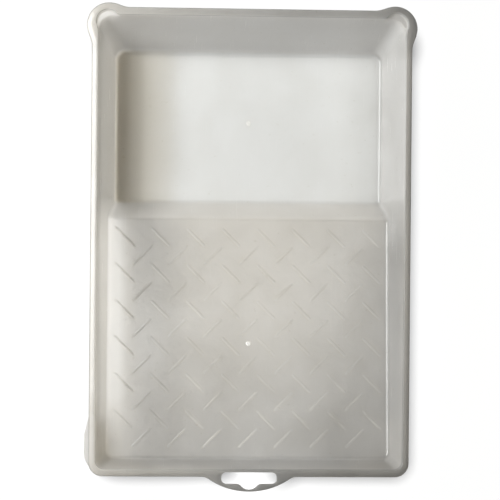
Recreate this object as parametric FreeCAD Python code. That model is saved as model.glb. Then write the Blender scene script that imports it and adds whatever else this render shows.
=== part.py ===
"""Paint roller tray: a thin-walled plastic moulding with a deep paint reservoir at the rear, a
ribbed ramp rising to the front, two pouring corners, a hanging tab and two front corner legs.

Frame: millimetres, +Z up, +Y from the hanging tab at the front to the reservoir at the rear,
+X to the right. The origin is the bottom centre of the whole tray, on the surface it stands on.
The real tray is one moulding. Each moulded feature is written as its own closed solid, and
neighbours meet face to face.
"""

import FreeCAD, Part
import math
import os

from FreeCAD import Placement, Rotation, Vector

# Overall
HEIGHT = 48.0
WALL = 1.3
RIM_WIDTH = 185.0
RIM_LENGTH = 270.0
TAB_REACH = 8.5
LOBE_REACH_SIDE = 3.0
LOBE_REACH_REAR = 2.5
RIM_Y = (TAB_REACH - LOBE_REACH_REAR) / 2
SIDE_OUT = RIM_WIDTH / 2
REAR_OUT = RIM_Y + RIM_LENGTH / 2
FRONT_OUT = RIM_Y - RIM_LENGTH / 2

# Inside edges of the rim
SIDE_IN = SIDE_OUT - 3.6
REAR_IN = REAR_OUT - 4.0
FRONT_IN = FRONT_OUT + 4.0

# Reservoir
FLOOR_X = 80.3
FLOOR_REAR = REAR_IN - 15.7
FLOOR_FRONT = RIM_Y + 24.2
FLOOR_RADIUS = 4.0
REAR_CORNER_RADIUS = 7.0

# Ramp
RAMP_REAR = RIM_Y + 14.0
RAMP_REAR_X = 83.8
RAMP_REAR_Z = 14.0
RAMP_FRONT = FRONT_IN + 4.5
RAMP_FRONT_X = 82.8
RAMP_FRONT_Z = 31.0
RAMP_RADIUS = 2.5
FRONT_CORNER_RADIUS = 5.0
RAMP_FALL = (RAMP_FRONT_Z - RAMP_REAR_Z) / (RAMP_REAR - RAMP_FRONT)

# Grip ribs on the ramp: rising rows and falling rows alternate, half a pitch apart
RIB_PITCH_X = 20.9
RIB_PITCH_Y = 21.4
RIB_FIRST_ROW = FRONT_OUT + 20.4
RIB_ROWS = 6
RISING_PER_ROW = 7
FALLING_PER_ROW = 8
RIB_LENGTH = 16.5
RIB_WIDTH = 1.6
RIB_HEIGHT = 0.5
RIB_DRAFT = 0.3

# Rim with its turned-down edge
RIM_FRONT_RADIUS = 8.0
SKIRT_DEPTH = 4.0

# Pouring corners
LOBE_RADIUS = 12.9
LOBE_BLEND = 10.0
LOBE_X = SIDE_OUT + LOBE_REACH_SIDE - LOBE_RADIUS
LOBE_Y = REAR_OUT + LOBE_REACH_REAR - LOBE_RADIUS
LOBE_SPAN = 22.0
LOBE_SKIRT_DEPTH = 8.0
LIP_X = 83.4
LIP_Y = RIM_Y + 127.0
LIP_RADIUS = 6.9
LIP_DEPTH = 3.0
LIP_DRAFT = 0.6

# Hanging tab with its slot
TAB_RADIUS = 41.5
TAB_BLEND = 6.0
TAB_SEAM_X = 34.0
SLOT_WIDTH = 32.0
SLOT_FRONT = FRONT_OUT - 4.0
SLOT_CORNER_RADIUS = 3.0
NOTCH_RADIUS = 6.0
NOTCH_DEPTH = 3.3

# Front corner legs: an L-shaped skirt that flares and narrows down to the foot
LEG_FLARE = 4.8
LEG_SIDE_TOP = 36.8
LEG_SIDE_FOOT = 20.0
LEG_FRONT_TOP = 34.5
LEG_FRONT_FOOT = 18.0

# Webs under the rim beside the legs and the pouring corners
GUSSET = 1.0

# Gate marks left by the moulding
GATE_RADIUS = 1.2
GATE_HEIGHT = 0.5
WELL_GATE_Y = RIM_Y + 72.0
RAMP_GATE_Y = RIM_Y - 59.5

# Seams between the features
WELL_SEAM_X = 75.0
RAMP_SEAM_X = 79.5
REAR_SEAM_Y = FLOOR_REAR - 6.0
STEP_SEAM_Y = FLOOR_FRONT + 5.0
FRONT_SEAM_Y = RAMP_FRONT + 3.5
SIDE_RIM_SEAM_Y = FRONT_OUT + RIM_FRONT_RADIUS
FAR = 200.0
TINY = 1e-6


def block(x0, x1, y0, y1, z0=-FAR, z1=FAR):
    return Part.makeBox(x1 - x0, y1 - y0, z1 - z0, Vector(x0, y0, z0))


def mirrored(shape):
    return shape.mirror(Vector(0, 0, 0), Vector(1, 0, 0))


def shifted(start, end, shift):
    """The line from start to end, moved sideways by shift: (point, direction)."""
    dx, dy = end[0] - start[0], end[1] - start[1]
    length = math.hypot(dx, dy)
    return (start[0] + dy / length * shift, start[1] - dx / length * shift), (dx, dy)


def crossing(one, other):
    """Where two lines cross, each given as (point, direction)."""
    (ax, ay), (ux, uy) = one
    (bx, by), (vx, vy) = other
    s = ((bx - ax) * vy - (by - ay) * vx) / (ux * vy - uy * vx)
    return ax + s * ux, ay + s * uy


def ramp_z(y):
    return RAMP_REAR_Z + (RAMP_REAR - y) * RAMP_FALL


def half_width(low_half, low_z, z, grow):
    """Half width at height z between low_half at low_z and the rim's inside edge at the top."""
    slope = (SIDE_IN - low_half) / (HEIGHT - low_z)
    return low_half + slope * (z - low_z) + grow


def section(low, high, low_half, high_half):
    """The corners of a symmetric trapezoid across the tray, between (y, z) low and high."""
    return [
        Vector(-low_half, *low),
        Vector(low_half, *low),
        Vector(high_half, *high),
        Vector(-high_half, *high),
    ]


def four_sided(a, b, c, d):
    """A face through four corners. A twisted one is ruled between its sides a-b and d-c."""
    normal = (b - a).cross(c - a).normalize()
    if abs(normal.dot(d - a)) < TINY:
        return Part.Face(Part.makePolygon([a, b, c, d, a]))
    return Part.makeRuledSurface(Part.makeLine(a, b), Part.makeLine(d, c))


def length_between(one, other):
    """The six-sided solid between two trapezoids."""
    faces = [four_sided(*one), four_sided(*other)]
    for i in range(4):
        j = (i + 1) % 4
        faces.append(four_sided(one[i], one[j], other[j], other[i]))
    shell = Part.makeShell(faces)
    shell.sewShape()
    solid = Part.makeSolid(shell)
    return solid if solid.Volume > 0 else solid.reversed()


def rounded(solid, radius, test):
    """The solid with a fillet on each edge whose two end points pass the test."""
    chosen = []
    for edge in solid.Edges:
        ends = [v.Point for v in edge.Vertexes]
        if len(ends) == 2 and test(*ends):
            chosen.append(edge)
    return solid.makeFillet(radius, chosen)


def upright_between(y0, y1):
    """A test for the corner edges that climb between y0 and y1."""
    return lambda a, b: abs(a.z - b.z) > WALL and a.x * b.x > 0 and y0 < min(a.y, b.y) and max(a.y, b.y) < y1


def upright_at(*spots):
    """A test for the upright edges at the given (x, y) spots and their mirror images."""
    near = WALL / 10

    def test(a, b):
        upright = math.hypot(a.x - b.x, a.y - b.y) < near
        return upright and any(math.hypot(abs(a.x) - x, a.y - y) < near for x, y in spots)

    return test


def basin(grow):
    """The tray's hollow, or with grow the solid that also holds its floor and walls."""
    top = ((0, HEIGHT), (1, 0))
    rear = shifted((REAR_IN, HEIGHT), (FLOOR_REAR, WALL), -grow)
    floor = shifted((FLOOR_REAR, WALL), (FLOOR_FRONT, WALL), -grow)
    step = shifted((FLOOR_FRONT, WALL), (RAMP_REAR, RAMP_REAR_Z), -grow)
    ramp = shifted((RAMP_REAR, RAMP_REAR_Z), (RAMP_FRONT, RAMP_FRONT_Z), -grow)
    front = shifted((RAMP_FRONT, RAMP_FRONT_Z), (FRONT_IN, HEIGHT), -grow)
    rear_top = crossing(top, rear)
    rear_low = crossing(rear, floor)
    floor_end = crossing(floor, step)
    ramp_end = crossing(step, ramp)
    front_low = crossing(ramp, front)
    front_top = crossing(front, top)
    top_half = SIDE_IN + grow
    floor_half = half_width(FLOOR_X, WALL, rear_low[1], grow)
    ramp_half = half_width(RAMP_REAR_X, RAMP_REAR_Z, ramp_end[1], grow)
    front_half = half_width(RAMP_FRONT_X, RAMP_FRONT_Z, front_low[1], grow)
    sections = [
        section(rear_low, rear_top, floor_half, top_half),
        section(floor_end, (floor_end[0], HEIGHT), floor_half, top_half),
        section(ramp_end, (ramp_end[0], HEIGHT), ramp_half, top_half),
        section(front_low, front_top, front_half, top_half),
    ]
    lengths = [length_between(a, b) for a, b in zip(sections, sections[1:])]
    solid = lengths[0].fuse(lengths[1:]).removeSplitter().Solids[0]
    solid = rounded(solid, REAR_CORNER_RADIUS + grow, upright_between(REAR_SEAM_Y, REAR_OUT))
    solid = rounded(solid, FRONT_CORNER_RADIUS + grow, upright_between(FRONT_OUT, FRONT_SEAM_Y))
    floor_z = WALL - grow
    solid = rounded(solid, FLOOR_RADIUS + grow, lambda a, b: max(a.z, b.z) < floor_z + TINY)
    low, high = RAMP_REAR_Z / 2, RAMP_FRONT_Z + WALL
    solid = rounded(solid, RAMP_RADIUS + grow, lambda a, b: low < min(a.z, b.z) and max(a.z, b.z) < high)
    return solid


def flat_face(solid, z):
    """The solid's flat face at height z."""
    for face in solid.Faces:
        if face.BoundBox.ZLength < TINY and abs(face.BoundBox.ZMin - z) < TINY:
            return face
    raise ValueError("no flat face at %g" % z)


def raised(face, z0, z1):
    """A face at height 0, drawn up into a solid between two heights."""
    return face.translated(Vector(0, 0, z0)).extrude(Vector(0, 0, z1 - z0))


def rim_outline():
    """The rim's outline at height 0: a rounded rectangle with a lobe at each rear corner."""
    plate = block(-SIDE_OUT, SIDE_OUT, FRONT_OUT, REAR_OUT, 0, WALL)
    plate = rounded(plate, RIM_FRONT_RADIUS, upright_at((SIDE_OUT, FRONT_OUT)))
    plate = rounded(plate, LOBE_RADIUS, upright_at((SIDE_OUT, REAR_OUT)))
    for x in (-LOBE_X, LOBE_X):
        plate = plate.fuse(Part.makeCylinder(LOBE_RADIUS, WALL, Vector(x, LOBE_Y, 0)))
    plate = plate.removeSplitter().Solids[0]
    side_y = LOBE_Y - math.sqrt(LOBE_RADIUS**2 - (SIDE_OUT - LOBE_X) ** 2)
    rear_x = LOBE_X - math.sqrt(LOBE_RADIUS**2 - (REAR_OUT - LOBE_Y) ** 2)
    plate = rounded(plate, LOBE_BLEND, upright_at((SIDE_OUT, side_y), (rear_x, REAR_OUT)))
    return flat_face(plate, 0)


def rim(outline, outer_basin):
    """The flange round the opening with its turned-down edge, deeper at the pouring corners."""
    inside = outline.makeOffset2D(-WALL)
    flange = raised(outline, HEIGHT - WALL, HEIGHT)
    edge = raised(outline, HEIGHT - SKIRT_DEPTH, HEIGHT)
    edge = edge.cut(raised(inside, HEIGHT - SKIRT_DEPTH, HEIGHT))
    deep = raised(outline, HEIGHT - LOBE_SKIRT_DEPTH, HEIGHT)
    deep = deep.cut(raised(inside, HEIGHT - LOBE_SKIRT_DEPTH, HEIGHT))
    return flange.fuse([edge, deep.common(spout_cell())]).cut(outer_basin)


def spout_cell():
    """The space of the right and left pouring corners."""
    right = block(SIDE_OUT - LOBE_SPAN, FAR, REAR_OUT - LOBE_SPAN, FAR)
    return right.fuse(mirrored(right))


def lip_recess(grow):
    """The shallow round recess of the right pouring lip, or with grow its bowl's outside."""
    depth = LIP_DEPTH + grow
    floor_radius = LIP_RADIUS - LIP_DRAFT + grow
    centre = Vector(LIP_X, LIP_Y, HEIGHT - depth)
    return Part.makeCone(floor_radius, LIP_RADIUS + grow, depth, centre)


def tab_plate():
    """The flange in front of the tray that carries the tab, at full width and without a slot."""
    z = HEIGHT - WALL
    strip = block(-TAB_SEAM_X, TAB_SEAM_X, FRONT_OUT, FRONT_IN, z, HEIGHT)
    centre = Vector(0, FRONT_OUT - TAB_REACH + TAB_RADIUS, z)
    bow = Part.makeCylinder(TAB_RADIUS, WALL, centre)
    bow = bow.common(block(-FAR, FAR, -FAR, FRONT_IN))
    plate = strip.fuse(bow.common(block(-TAB_SEAM_X, TAB_SEAM_X, -FAR, FAR)))
    plate = plate.removeSplitter().Solids[0]
    shoulder_x = math.sqrt(TAB_RADIUS**2 - (TAB_RADIUS - TAB_REACH) ** 2)
    return rounded(plate, TAB_BLEND, upright_at((shoulder_x, FRONT_OUT)))


def hanging_slot():
    """The slot for a hook: long and round-ended, with a half-round notch in its outer side."""
    half = SLOT_WIDTH / 2
    slot = block(-half, half, SLOT_FRONT, FRONT_IN)
    slot = rounded(slot, SLOT_CORNER_RADIUS, upright_at((half, SLOT_FRONT)))
    notch_y = SLOT_FRONT - NOTCH_DEPTH + NOTCH_RADIUS
    notch = Part.makeCylinder(NOTCH_RADIUS, HEIGHT, Vector(0, notch_y, HEIGHT / 2))
    return slot.fuse(notch)


def leg_strip(z, side_end, front_end, flare):
    """The left leg's L-shaped cross-section at height z, grown outwards by flare."""
    x_out = -SIDE_OUT - flare
    y_out = FRONT_OUT - flare
    radius = RIM_FRONT_RADIUS + flare
    centre = Vector(x_out + radius, y_out + radius, z)
    bend = math.sqrt(0.5)
    outer = Part.Arc(
        Vector(x_out, centre.y, z),
        Vector(centre.x - radius * bend, centre.y - radius * bend, z),
        Vector(centre.x, y_out, z),
    ).toShape()
    thin = radius - WALL
    inner = Part.Arc(
        Vector(centre.x, y_out + WALL, z),
        Vector(centre.x - thin * bend, centre.y - thin * bend, z),
        Vector(x_out + WALL, centre.y, z),
    ).toShape()
    side_y = FRONT_OUT + side_end
    front_x = -SIDE_OUT + front_end
    edges = [
        Part.makeLine(Vector(x_out, side_y, z), Vector(x_out, centre.y, z)),
        outer,
        Part.makeLine(Vector(centre.x, y_out, z), Vector(front_x, y_out, z)),
        Part.makeLine(Vector(front_x, y_out, z), Vector(front_x, y_out + WALL, z)),
        Part.makeLine(Vector(front_x, y_out + WALL, z), Vector(centre.x, y_out + WALL, z)),
        inner,
        Part.makeLine(Vector(x_out + WALL, centre.y, z), Vector(x_out + WALL, side_y, z)),
        Part.makeLine(Vector(x_out + WALL, side_y, z), Vector(x_out, side_y, z)),
    ]
    return Part.Wire(edges)


def left_leg():
    top = leg_strip(HEIGHT - WALL, LEG_SIDE_TOP, LEG_FRONT_TOP, 0)
    foot = leg_strip(0, LEG_SIDE_FOOT, LEG_FRONT_FOOT, LEG_FLARE)
    return Part.makeLoft([foot, top], True, True)


def leg_cell():
    """The space under the flange that the two legs fill in place of the rim's edge."""
    depth = HEIGHT - WALL
    along_side = block(-FAR, -SIDE_OUT + WALL, -FAR, FRONT_OUT + LEG_SIDE_TOP, 0, depth)
    along_front = block(-FAR, -SIDE_OUT + LEG_FRONT_TOP, -FAR, FRONT_OUT + WALL, 0, depth)
    corner_x = -SIDE_OUT + RIM_FRONT_RADIUS
    corner_y = FRONT_OUT + RIM_FRONT_RADIUS
    corner = block(-FAR, corner_x, -FAR, corner_y, 0, depth)
    left = along_side.fuse([along_front, corner])
    return left.fuse(mirrored(left))


def gussets(outer):
    """Thin webs that cross the channel under the flange, beside each leg and pouring corner."""
    z0, z1 = HEIGHT - SKIRT_DEPTH, HEIGHT - WALL
    webs = []
    for y in (REAR_OUT - LOBE_SPAN - GUSSET, FRONT_OUT + LEG_SIDE_TOP):
        webs.append(block(SIDE_IN - WALL, SIDE_OUT - WALL, y, y + GUSSET, z0, z1).cut(outer))
    x = SIDE_OUT - LEG_FRONT_TOP
    webs.append(block(x - GUSSET, x, FRONT_OUT + WALL, FRONT_IN + WALL, z0, z1).cut(outer))
    return Part.makeCompound(webs + [mirrored(web) for web in webs])


def ribs():
    """The ramp's grip ribs: short bars set at 45 degrees, in rows of two slants."""
    bar = Part.makeWedge(
        -RIB_LENGTH / 2,
        0,
        -RIB_WIDTH / 2,
        -RIB_WIDTH / 2 + RIB_DRAFT,
        -RIB_LENGTH / 2 + RIB_DRAFT,
        RIB_LENGTH / 2,
        RIB_HEIGHT,
        RIB_WIDTH / 2,
        RIB_WIDTH / 2 - RIB_DRAFT,
        RIB_LENGTH / 2 - RIB_DRAFT,
    )
    upright = Rotation(Vector(1, 0, 0), 90)
    tilt = Rotation(Vector(1, 0, 0), -math.degrees(math.atan(RAMP_FALL)))
    bars = []
    for row in range(RIB_ROWS):
        for per_row, slant, shift in ((RISING_PER_ROW, 45, 0.0), (FALLING_PER_ROW, -45, 0.5)):
            y = RIB_FIRST_ROW + (row + shift) * RIB_PITCH_Y
            turn = tilt.multiply(Rotation(Vector(0, 0, 1), slant)).multiply(upright)
            for i in range(per_row):
                x = (i - (per_row - 1) / 2) * RIB_PITCH_X
                copy = bar.copy()
                copy.Placement = Placement(Vector(x, y, ramp_z(y)), turn)
                bars.append(copy)
    return Part.makeCompound(bars)


def gate_mark(y, hollow):
    """A small round mark standing up from the floor or the ramp."""
    surface = WALL if y > RAMP_REAR else ramp_z(y)
    stub = Part.makeCylinder(GATE_RADIUS, WALL + GATE_HEIGHT, Vector(0, y, surface - WALL))
    return stub.common(hollow)


def walls(outer, hollow):
    """The basin's thin shell, cut into its floor, ramp and walls: {name: solid}."""
    recess = lip_recess(0)
    shell = outer.cut(hollow).cut(recess).cut(mirrored(recess))
    rear = block(-FAR, FAR, REAR_SEAM_Y, FAR)
    front = block(-FAR, FAR, -FAR, FRONT_SEAM_Y)
    cells = {
        "rear_wall": rear,
        "well_floor": block(-WELL_SEAM_X, WELL_SEAM_X, STEP_SEAM_Y, REAR_SEAM_Y),
        "well_left_wall": block(-FAR, -WELL_SEAM_X, RAMP_REAR, REAR_SEAM_Y),
        "well_right_wall": block(WELL_SEAM_X, FAR, RAMP_REAR, REAR_SEAM_Y),
        "step_wall": block(-WELL_SEAM_X, WELL_SEAM_X, RAMP_REAR, STEP_SEAM_Y),
        "ramp_panel": block(-RAMP_SEAM_X, RAMP_SEAM_X, FRONT_SEAM_Y, RAMP_REAR),
        "ramp_left_wall": block(-FAR, -RAMP_SEAM_X, FRONT_SEAM_Y, RAMP_REAR),
        "ramp_right_wall": block(RAMP_SEAM_X, FAR, FRONT_SEAM_Y, RAMP_REAR),
        "front_wall": front,
    }
    return {name: shell.common(cell) for name, cell in cells.items()}


def rim_pieces(outer):
    """The flange and its edge, cut into its four sides and two pouring corners: {name: solid}."""
    recess = lip_recess(0)
    bowl = lip_recess(WALL).cut(recess).cut(outer)
    frame = rim(rim_outline(), outer).cut(leg_cell())
    frame = frame.cut(recess).cut(mirrored(recess))
    spout_x = SIDE_OUT - LOBE_SPAN
    spout_y = REAR_OUT - LOBE_SPAN
    spout = frame.common(block(spout_x, FAR, spout_y, FAR)).fuse(bowl).removeSplitter()
    side = frame.common(block(spout_x, FAR, SIDE_RIM_SEAM_Y, spout_y))
    front = frame.common(block(TAB_SEAM_X, FAR, -FAR, SIDE_RIM_SEAM_Y))
    return {
        "rear_rim": frame.common(block(-spout_x, spout_x, spout_y, FAR)),
        "right_rim": side,
        "left_rim": mirrored(side),
        "front_right_rim": front,
        "front_left_rim": mirrored(front),
        "right_pouring_spout": spout,
        "left_pouring_spout": mirrored(spout),
    }


if __name__ == "__main__":
    hollow = basin(0)
    outer = basin(WALL)
    leg = left_leg()
    parts = walls(outer, hollow)
    parts.update(rim_pieces(outer))
    parts["hanging_tab"] = tab_plate().cut(outer).cut(hanging_slot())
    parts["left_front_leg"] = leg
    parts["right_front_leg"] = mirrored(leg)
    parts["rim_gussets"] = gussets(outer)
    parts["ramp_ribs"] = ribs()
    parts["well_gate_mark"] = gate_mark(WELL_GATE_Y, hollow)
    parts["ramp_gate_mark"] = gate_mark(RAMP_GATE_Y, hollow)

    os.makedirs("parts", exist_ok=True)
    for name, shape in parts.items():
        shape.exportStep("parts/%s.step" % name)
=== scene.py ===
import functools
import math
import random

import bmesh
import bpy
import numpy as np
from mathutils import Matrix, Vector
from mathutils.geometry import delaunay_2d_cdt


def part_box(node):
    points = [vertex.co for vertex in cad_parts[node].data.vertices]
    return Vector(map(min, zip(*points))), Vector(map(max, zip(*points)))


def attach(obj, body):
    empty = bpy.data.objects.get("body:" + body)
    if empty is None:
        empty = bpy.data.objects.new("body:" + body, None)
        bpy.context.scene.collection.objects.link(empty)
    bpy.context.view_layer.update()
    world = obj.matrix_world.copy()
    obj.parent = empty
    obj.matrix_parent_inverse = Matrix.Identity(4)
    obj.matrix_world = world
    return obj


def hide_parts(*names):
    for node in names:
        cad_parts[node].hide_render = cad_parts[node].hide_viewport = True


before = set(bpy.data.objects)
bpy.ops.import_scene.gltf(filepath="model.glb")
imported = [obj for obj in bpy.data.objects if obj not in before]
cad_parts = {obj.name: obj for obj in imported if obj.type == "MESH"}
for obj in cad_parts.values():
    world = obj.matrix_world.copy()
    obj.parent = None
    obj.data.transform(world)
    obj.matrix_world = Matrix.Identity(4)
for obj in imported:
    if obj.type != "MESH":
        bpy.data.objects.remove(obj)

MM = 0.001
RANDOM = random.Random(7)
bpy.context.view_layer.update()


def box_mm(node):
    low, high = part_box(node)
    return np.array(low) / MM, np.array(high) / MM


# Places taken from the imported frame, in millimetres
floor_low, floor_high = box_mm("well_floor")
ramp_low, ramp_high = box_mm("ramp_panel")
spout_low, spout_high = box_mm("right_pouring_spout")
TOP = box_mm("rear_rim")[1][2]
SIDE_OUT = box_mm("right_rim")[1][0]
REAR_OUT = box_mm("rear_rim")[1][1]
FRONT_OUT = box_mm("front_left_rim")[0][1]
TAB_OUT = box_mm("hanging_tab")[0][1]
WALL = floor_high[2] - floor_low[2]
RAMP_REAR = ramp_high[1]

# Basin
SIDE_IN = SIDE_OUT - 3.6
REAR_IN = REAR_OUT - 4.0
FRONT_IN = FRONT_OUT + 4.0
FLOOR_X = SIDE_IN - 8.6
FLOOR_REAR = REAR_IN - 15.7
STEP_RUN = 10.2
RAMP_REAR_X = SIDE_IN - 5.1
RAMP_FRONT_X = SIDE_IN - 6.1
RAMP_FRONT = FRONT_IN + 4.5
RAMP_FALL = 0.121
REAR_CORNER = 7.0
REAR_CORNER_LOW = 6.5
FRONT_CORNER = 5.0
FRONT_CORNER_LOW = 4.5
STEP_FILLET = 4.0
STEP_NOSE = 3.0
REAR_FILLET = 4.0
SIDE_FILLET = 2.5

# Rim: (distance in from the outline, drop below the top) from the flat inner part outwards
RIM_SECTION = (
    (3.0, 0.0),
    (2.7, 0.04),
    (2.3, 0.14),
    (1.7, 0.3),
    (1.1, 0.46),
    (0.6, 0.6),
    (0.32, 0.72),
    (0.12, 0.92),
    (0.0, 1.25),
)
RIM_INNER_ROUND = 0.35
SKIRT = 4.0
SPOUT_SKIRT = 8.0
TAB_SKIRT = 1.75
FRONT_OUTLINE_RADIUS = 8.0
SPOUT_RADIUS = 12.9
SPOUT_BLEND = 2.6
TAB_RADIUS = 41.5
TAB_BLEND = 1.4

# Pouring lip: a shallow round ledge at each rear corner
LIP_X = SIDE_OUT - 9.1
LIP_Y = REAR_OUT - 8.0
LIP_RADIUS = 6.9
LIP_DEPTH = 3.0

# Hanging slot
SLOT_HALF = 16.0
SLOT_REAR = FRONT_OUT + 2.7
SLOT_FRONT = FRONT_OUT - 4.0
SLOT_CORNER = 2.8
NOTCH_RADIUS = 6.0
NOTCH_Y = SLOT_FRONT - 3.3 + NOTCH_RADIUS
SLOT_EDGE = 0.22
SLOT_EDGE_LOW = 0.12
SLOT_COLUMNS_X = 20.5

# Front corner legs
LEG_FLARE = 4.8
LEG_SIDE_TOP = FRONT_OUT + 36.8
LEG_SIDE_FOOT = FRONT_OUT + 20.0
LEG_FRONT_TOP = SIDE_OUT - 34.5
LEG_FRONT_FOOT = SIDE_OUT - 18.0

# Grip ribs
RIB_PITCH_X = 20.9
RIB_PITCH_Y = 21.4
RIB_FIRST_ROW = FRONT_OUT + 20.4
RIB_ROWS = 6
RIB_LENGTH = 16.5
RIB_WIDTH = 1.6
RIB_HEIGHT = 0.1

# Webs under the rim: half thickness, how far the lower edge arches up, and the swell at four heights
WEB_HALF = 0.5
WEB_SAG = 1.1
WEB_SWELL = (1.5, 1.0, 0.8, 0.3)

# Gate mark: (radius, height) from its buried edge to its middle
GATE_PROFILE = (
    (1.6, -0.15),
    (1.4, 0.03),
    (1.1, 0.12),
    (0.85, 0.16),
    (0.6, 0.12),
    (0.35, 0.05),
    (0.12, 0.12),
    (0.0, 0.16),
)

# Plastic: how much milkier it is in places, and how strong the painted shade and painted light in its
# colour are
WALL_MILKIER = 0.35
WALL_PAINTED_SHADE = 0.07
RIM_PAINTED_SHADE = 0.23
EDGE_PAINTED_SHADE = 0.34
RAMP_BAND_PAINTED_SHADOW = 0.11
RAMP_RIGHT_PAINTED_SHADE = 0.035
STRIP_PAINTED_LIGHT = 0.9
PAINTED_LIGHT_COLOUR = (0.945, 0.945, 0.94, 1.0)

DAYLIGHT = (0.985, 0.995, 1.0)

# How finely the surfaces are divided
COLUMNS = 64
REAR_ARC = 14
WELL_SIDE = 26
STEP_ARC = 5
STEP_FACE = 4
RAMP_SIDE = 46
FRONT_ARC = 10
FILLET_STEPS = 5
WALL_STEPS = 8
LEG_STEPS = 9
SLOT_REAR_POINTS = 15
SLOT_FRONT_POINTS = 61
SLOT_ARC = 9
WEB_STEPS = 6
GATE_SPOKES = 24


def ramp_z(y):
    return ramp_high[2] + (ramp_low[1] - y) * RAMP_FALL


def unit(v):
    return v / np.linalg.norm(v, axis=-1, keepdims=True)


def smooth(t):
    t = np.clip(t, 0.0, 1.0)
    return t * t * (3 - 2 * t)


def blended(a, b, width):
    """The smaller of two distances, with the corner between them rounded over width."""
    h = np.maximum(width - np.abs(a - b), 0.0) / width
    return np.minimum(a, b) - h * h * width / 4


def rounded_box(x, y, half_x, y0, y1, radius):
    """Signed distance from a rectangle centred on x = 0 with rounded corners."""
    qx = np.abs(x) - half_x + radius
    qy = np.abs(y - (y0 + y1) / 2) - (y1 - y0) / 2 + radius
    outside = np.hypot(np.maximum(qx, 0), np.maximum(qy, 0))
    return outside + np.minimum(np.maximum(qx, qy), 0) - radius


def outline_gap(x, y):
    """Signed distance from the rim's outline, negative inside it."""
    radius = np.where(y < 0, FRONT_OUTLINE_RADIUS, SPOUT_RADIUS)
    plate = rounded_box(x, y, SIDE_OUT, FRONT_OUT, REAR_OUT, radius)
    spout_x = spout_high[0] - SPOUT_RADIUS
    spout_y = spout_high[1] - SPOUT_RADIUS
    spout = np.hypot(np.abs(x) - spout_x, y - spout_y) - SPOUT_RADIUS
    tab = np.hypot(x, y - TAB_OUT - TAB_RADIUS) - TAB_RADIUS
    return blended(blended(plate, spout, SPOUT_BLEND), tab, TAB_BLEND)


def slot_gap(x, y):
    slot = rounded_box(x, y, SLOT_HALF, SLOT_FRONT, SLOT_REAR, SLOT_CORNER)
    notch = np.maximum(np.hypot(x, y - NOTCH_Y) - NOTCH_RADIUS, y - NOTCH_Y)
    return blended(slot, notch, 1.6)


def reach(gap, start, direction, level, limit=40.0):
    """How far to go from start along direction until the signed distance gap equals level."""
    near = np.zeros(len(start))
    far = np.full(len(start), limit)
    for _ in range(40):
        middle = (near + far) / 2
        p = start + direction * middle[:, None]
        inside = gap(p[:, 0], p[:, 1]) < level
        near = np.where(inside, middle, near)
        far = np.where(inside, far, middle)
    return near


def corner_arc(corner, before, after, radius, steps):
    """Points of a fillet in the (y, z) plane at a corner between two directions."""
    corner = np.array(corner)
    u = unit(np.array(before))
    v = unit(np.array(after))
    half = math.acos(float(np.dot(u, v))) / 2
    centre = corner + unit(u + v) * radius / math.sin(half)
    a = corner + u * radius / math.tan(half) - centre
    b = corner + v * radius / math.tan(half) - centre
    swing = math.pi - 2 * half
    points = []
    for i in range(steps + 1):
        t = i / steps
        points.append(centre + (a * math.sin((1 - t) * swing) + b * math.sin(t * swing)) / math.sin(swing))
    return points


def floor_profile():
    """(y, z) points along the side of the basin's bottom: well floor, step and ramp."""
    floor_front = RAMP_REAR + STEP_RUN
    foot = (floor_front, WALL)
    nose = (RAMP_REAR, ramp_z(RAMP_REAR))
    up = (nose[0] - foot[0], nose[1] - foot[1])
    foot_arc = corner_arc(foot, (1.0, 0.0), up, STEP_FILLET, STEP_ARC)
    nose_arc = corner_arc(nose, (-up[0], -up[1]), (-1.0, RAMP_FALL), STEP_NOSE, STEP_ARC)
    start = np.array((FLOOR_REAR - REAR_CORNER_LOW, WALL))
    end_y = RAMP_FRONT + FRONT_CORNER_LOW
    end = np.array((end_y, ramp_z(end_y)))
    points = [start + (foot_arc[0] - start) * i / WELL_SIDE for i in range(1, WELL_SIDE)]
    points += foot_arc
    points += [foot_arc[-1] + (nose_arc[0] - foot_arc[-1]) * i / STEP_FACE for i in range(1, STEP_FACE)]
    points += nose_arc
    points += [nose_arc[-1] + (end - nose_arc[-1]) * i / RAMP_SIDE for i in range(1, RAMP_SIDE + 1)]
    return points


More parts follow.
